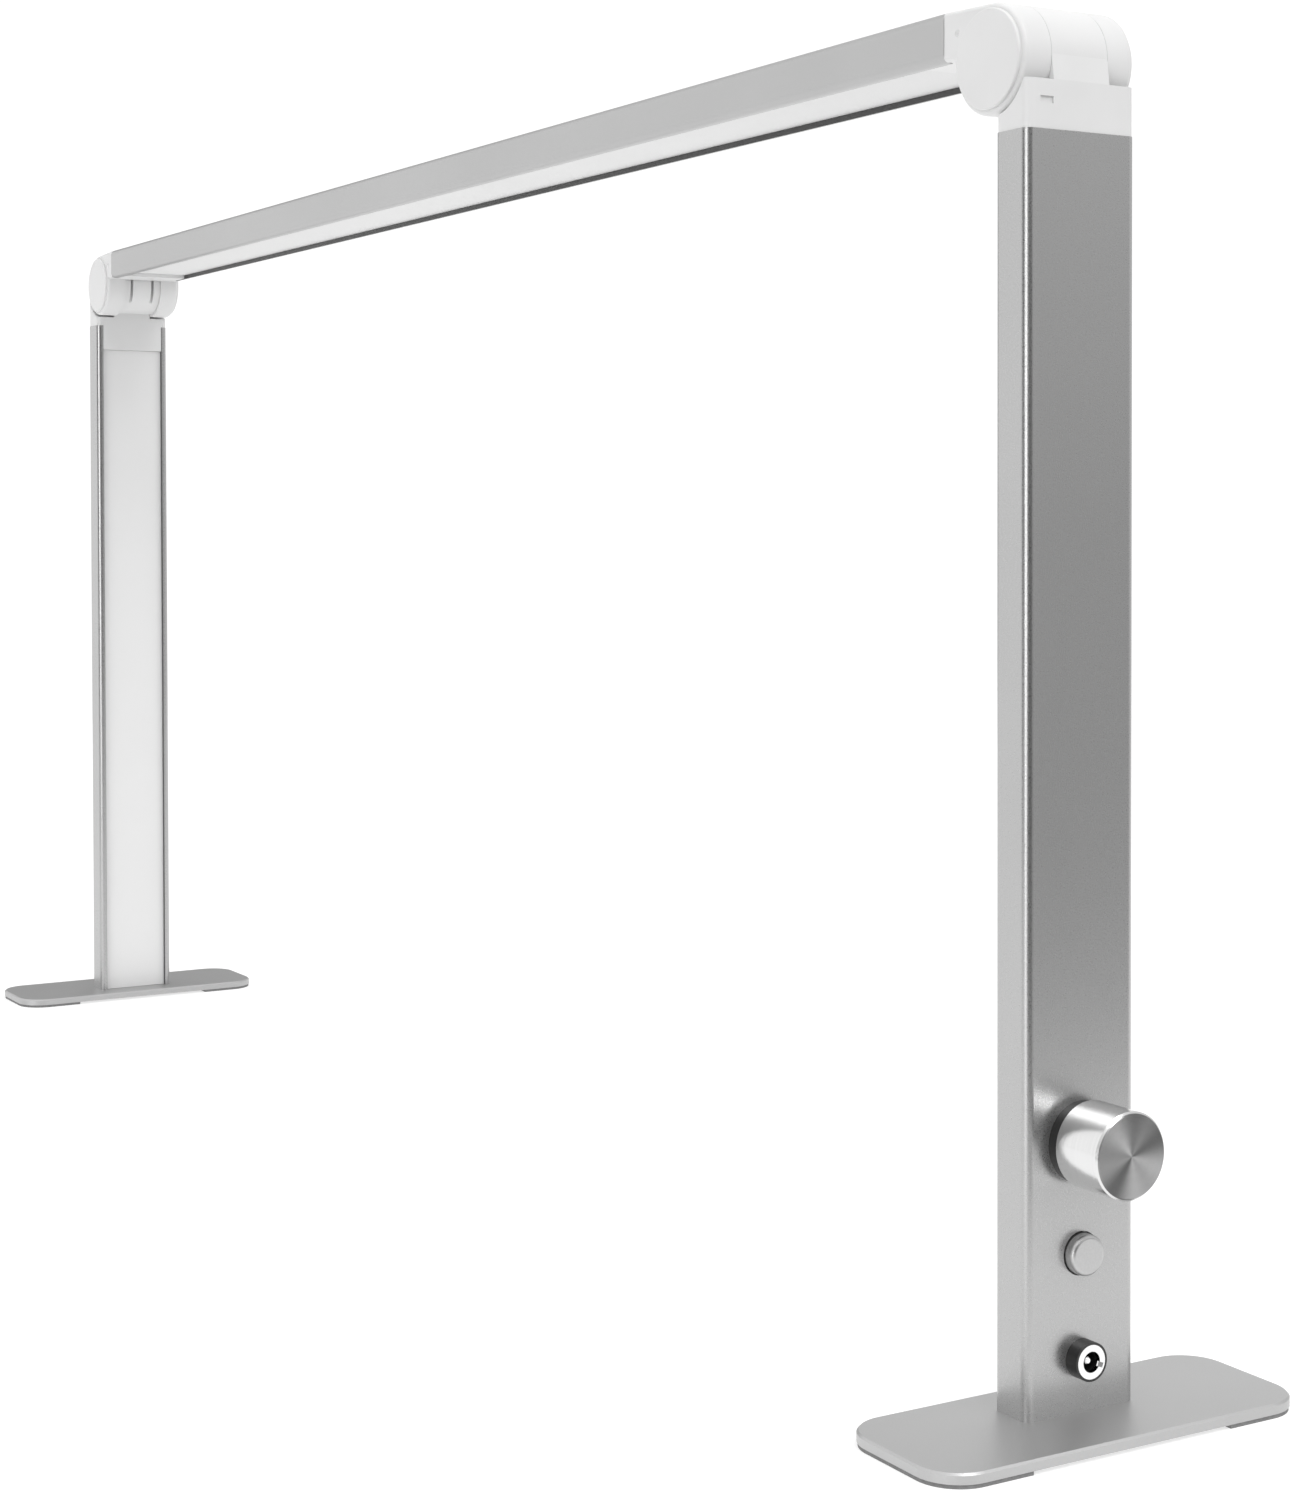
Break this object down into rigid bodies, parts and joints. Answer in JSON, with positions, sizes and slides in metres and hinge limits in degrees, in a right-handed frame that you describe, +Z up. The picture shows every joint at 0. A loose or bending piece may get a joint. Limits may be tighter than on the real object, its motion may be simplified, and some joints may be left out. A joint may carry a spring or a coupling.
{
  "type": "folding desk light bar",
  "caption": "Free-standing desk light: an aluminium light bar on two lit legs that fold inward on hinges, with a dimmer knob, a push button and a power socket.",
  "frame": {"origin": "on the table, under the middle of the bar and the middle of the base plates' length", "axes": "+Z up, +X along the bar towards the leg with the controls, +Y towards the back, across the bar"},
  "size_m": [0.85, 0.129, 0.4],
  "materials": {
    "satin_aluminium": "fine blasted and clear anodised",
    "diffuser": "frosted milky acrylic",
    "white_plastic": "fine satin moulding texture",
    "plate_steel": "satin silver, fine grain",
    "pad_rubber": "matte",
    "turned_metal": "turned, bright cut rim and spun face",
    "chrome_metal": "bright plating",
    "black_plastic": "satin black moulding",
    "steel": "zinc plated",
    "circuit_board": "white solder mask",
    "led": "phosphor"
  },
  "bodies": {
    "bar": {"bar_extrusion": "satin_aluminium", "bar_diffuser": "diffuser", "bar_led_board": "circuit_board", "bar_leds": "led", "left_bar_hinge_cap": "white_plastic", "left_hinge_pin": "steel", "left_hinge_nut": "steel", "left_friction_washers": "steel", "left_front_hinge_cover": "white_plastic", "left_back_hinge_cover": "white_plastic", "right_bar_hinge_cap": "white_plastic", "right_hinge_pin": "steel", "right_hinge_nut": "steel", "right_friction_washers": "steel", "right_front_hinge_cover": "white_plastic", "right_back_hinge_cover": "white_plastic"},
    "left_leg": {"left_leg_extrusion": "satin_aluminium", "left_leg_diffuser": "diffuser", "left_leg_led_board": "circuit_board", "left_leg_leds": "led", "left_leg_hinge_cap": "white_plastic", "left_foot_insert": "white_plastic", "left_base_plate": "plate_steel", "left_base_screws": "steel", "left_front_foot_pad": "pad_rubber", "left_back_foot_pad": "pad_rubber"},
    "right_leg": {"right_leg_extrusion": "satin_aluminium", "right_leg_diffuser": "diffuser", "right_leg_led_board": "circuit_board", "right_leg_leds": "led", "right_leg_hinge_cap": "white_plastic", "right_foot_insert": "white_plastic", "right_base_plate": "plate_steel", "right_base_screws": "steel", "right_front_foot_pad": "pad_rubber", "right_back_foot_pad": "pad_rubber", "control_board": "circuit_board", "potentiometer": "steel", "potentiometer_nut": "steel", "knob_ring": "black_plastic", "switch_body": "black_plastic", "jack_housing": "black_plastic", "jack_ring": "chrome_metal", "jack_pin": "chrome_metal", "jack_nut": "steel"},
    "knob": {"knob": "turned_metal", "knob_shaft": "steel"},
    "button": {"button_cap": "satin_aluminium", "switch_plunger": "black_plastic"}
  },
  "joints": [
    {"name": "left_leg_fold", "type": "hinge", "parent": "bar", "child": "left_leg", "pos_m": [-0.3852, 0, 0.3832], "axis": [0, -1, 0], "range_deg": [0, 88.5]},
    {"name": "right_leg_fold", "type": "hinge", "parent": "bar", "child": "right_leg", "pos_m": [0.3852, 0, 0.3832], "axis": [0, 1, 0], "range_deg": [0, 88.5]},
    {"name": "knob_turn", "type": "hinge", "parent": "right_leg", "child": "knob", "pos_m": [0.402, 0, 0.0805], "axis": [1, 0, 0], "range_deg": [-150, 150]},
    {"name": "button_press", "type": "slide", "parent": "right_leg", "child": "button", "axis": [-1, 0, 0], "range_m": [0, 0.0012], "stiffness_N_per_m": 1500, "springref_m": -0.0006}
  ]
}
